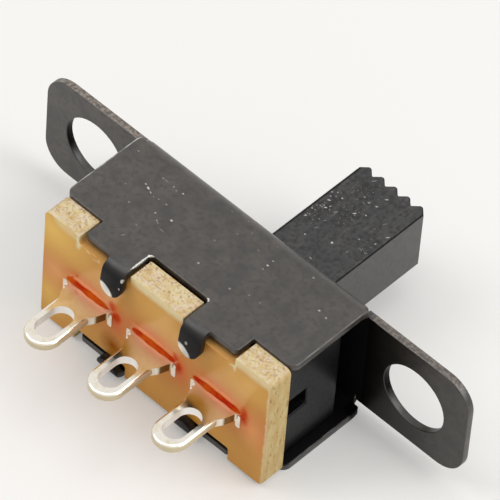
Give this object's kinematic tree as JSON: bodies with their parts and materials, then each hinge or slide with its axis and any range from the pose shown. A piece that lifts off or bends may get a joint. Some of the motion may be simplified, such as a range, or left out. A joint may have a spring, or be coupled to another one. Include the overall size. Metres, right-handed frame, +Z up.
{
  "type": "slide switch",
  "caption": "Small panel-mounting slide switch: folded black steel frame with screw ears, laminate terminal board with eyelet solder lugs, ridged black slider handle.",
  "frame": {"origin": "midway between the two ear holes, on the outer face of the face plate", "axes": "+X along the ears towards the end where the handle stands, +Y out of the panel along the handle, +Z up from the lower flange, on which the switch lies, to the upper one"},
  "size_m": [0.0198, 0.0131, 0.0056],
  "materials": {
    "black_steel": "satin black, thin",
    "laminate": "tan paper laminate, punched edges",
    "tinned_brass": "bright tin over brass",
    "black_plastic": "moulded, satin",
    "bronze": "bright spring bronze"
  },
  "bodies": {
    "housing": {"frame": "black_steel", "terminal_board": "laminate", "terminal_left": "tinned_brass", "terminal_middle": "tinned_brass", "terminal_right": "tinned_brass"},
    "slide": {"slider": "black_plastic", "moving_contact": "bronze"}
  },
  "joints": [
    {"name": "slide_travel", "type": "slide", "parent": "housing", "child": "slide", "axis": [1, 0, 0], "range_m": [-0.0029, 0]}
  ]
}
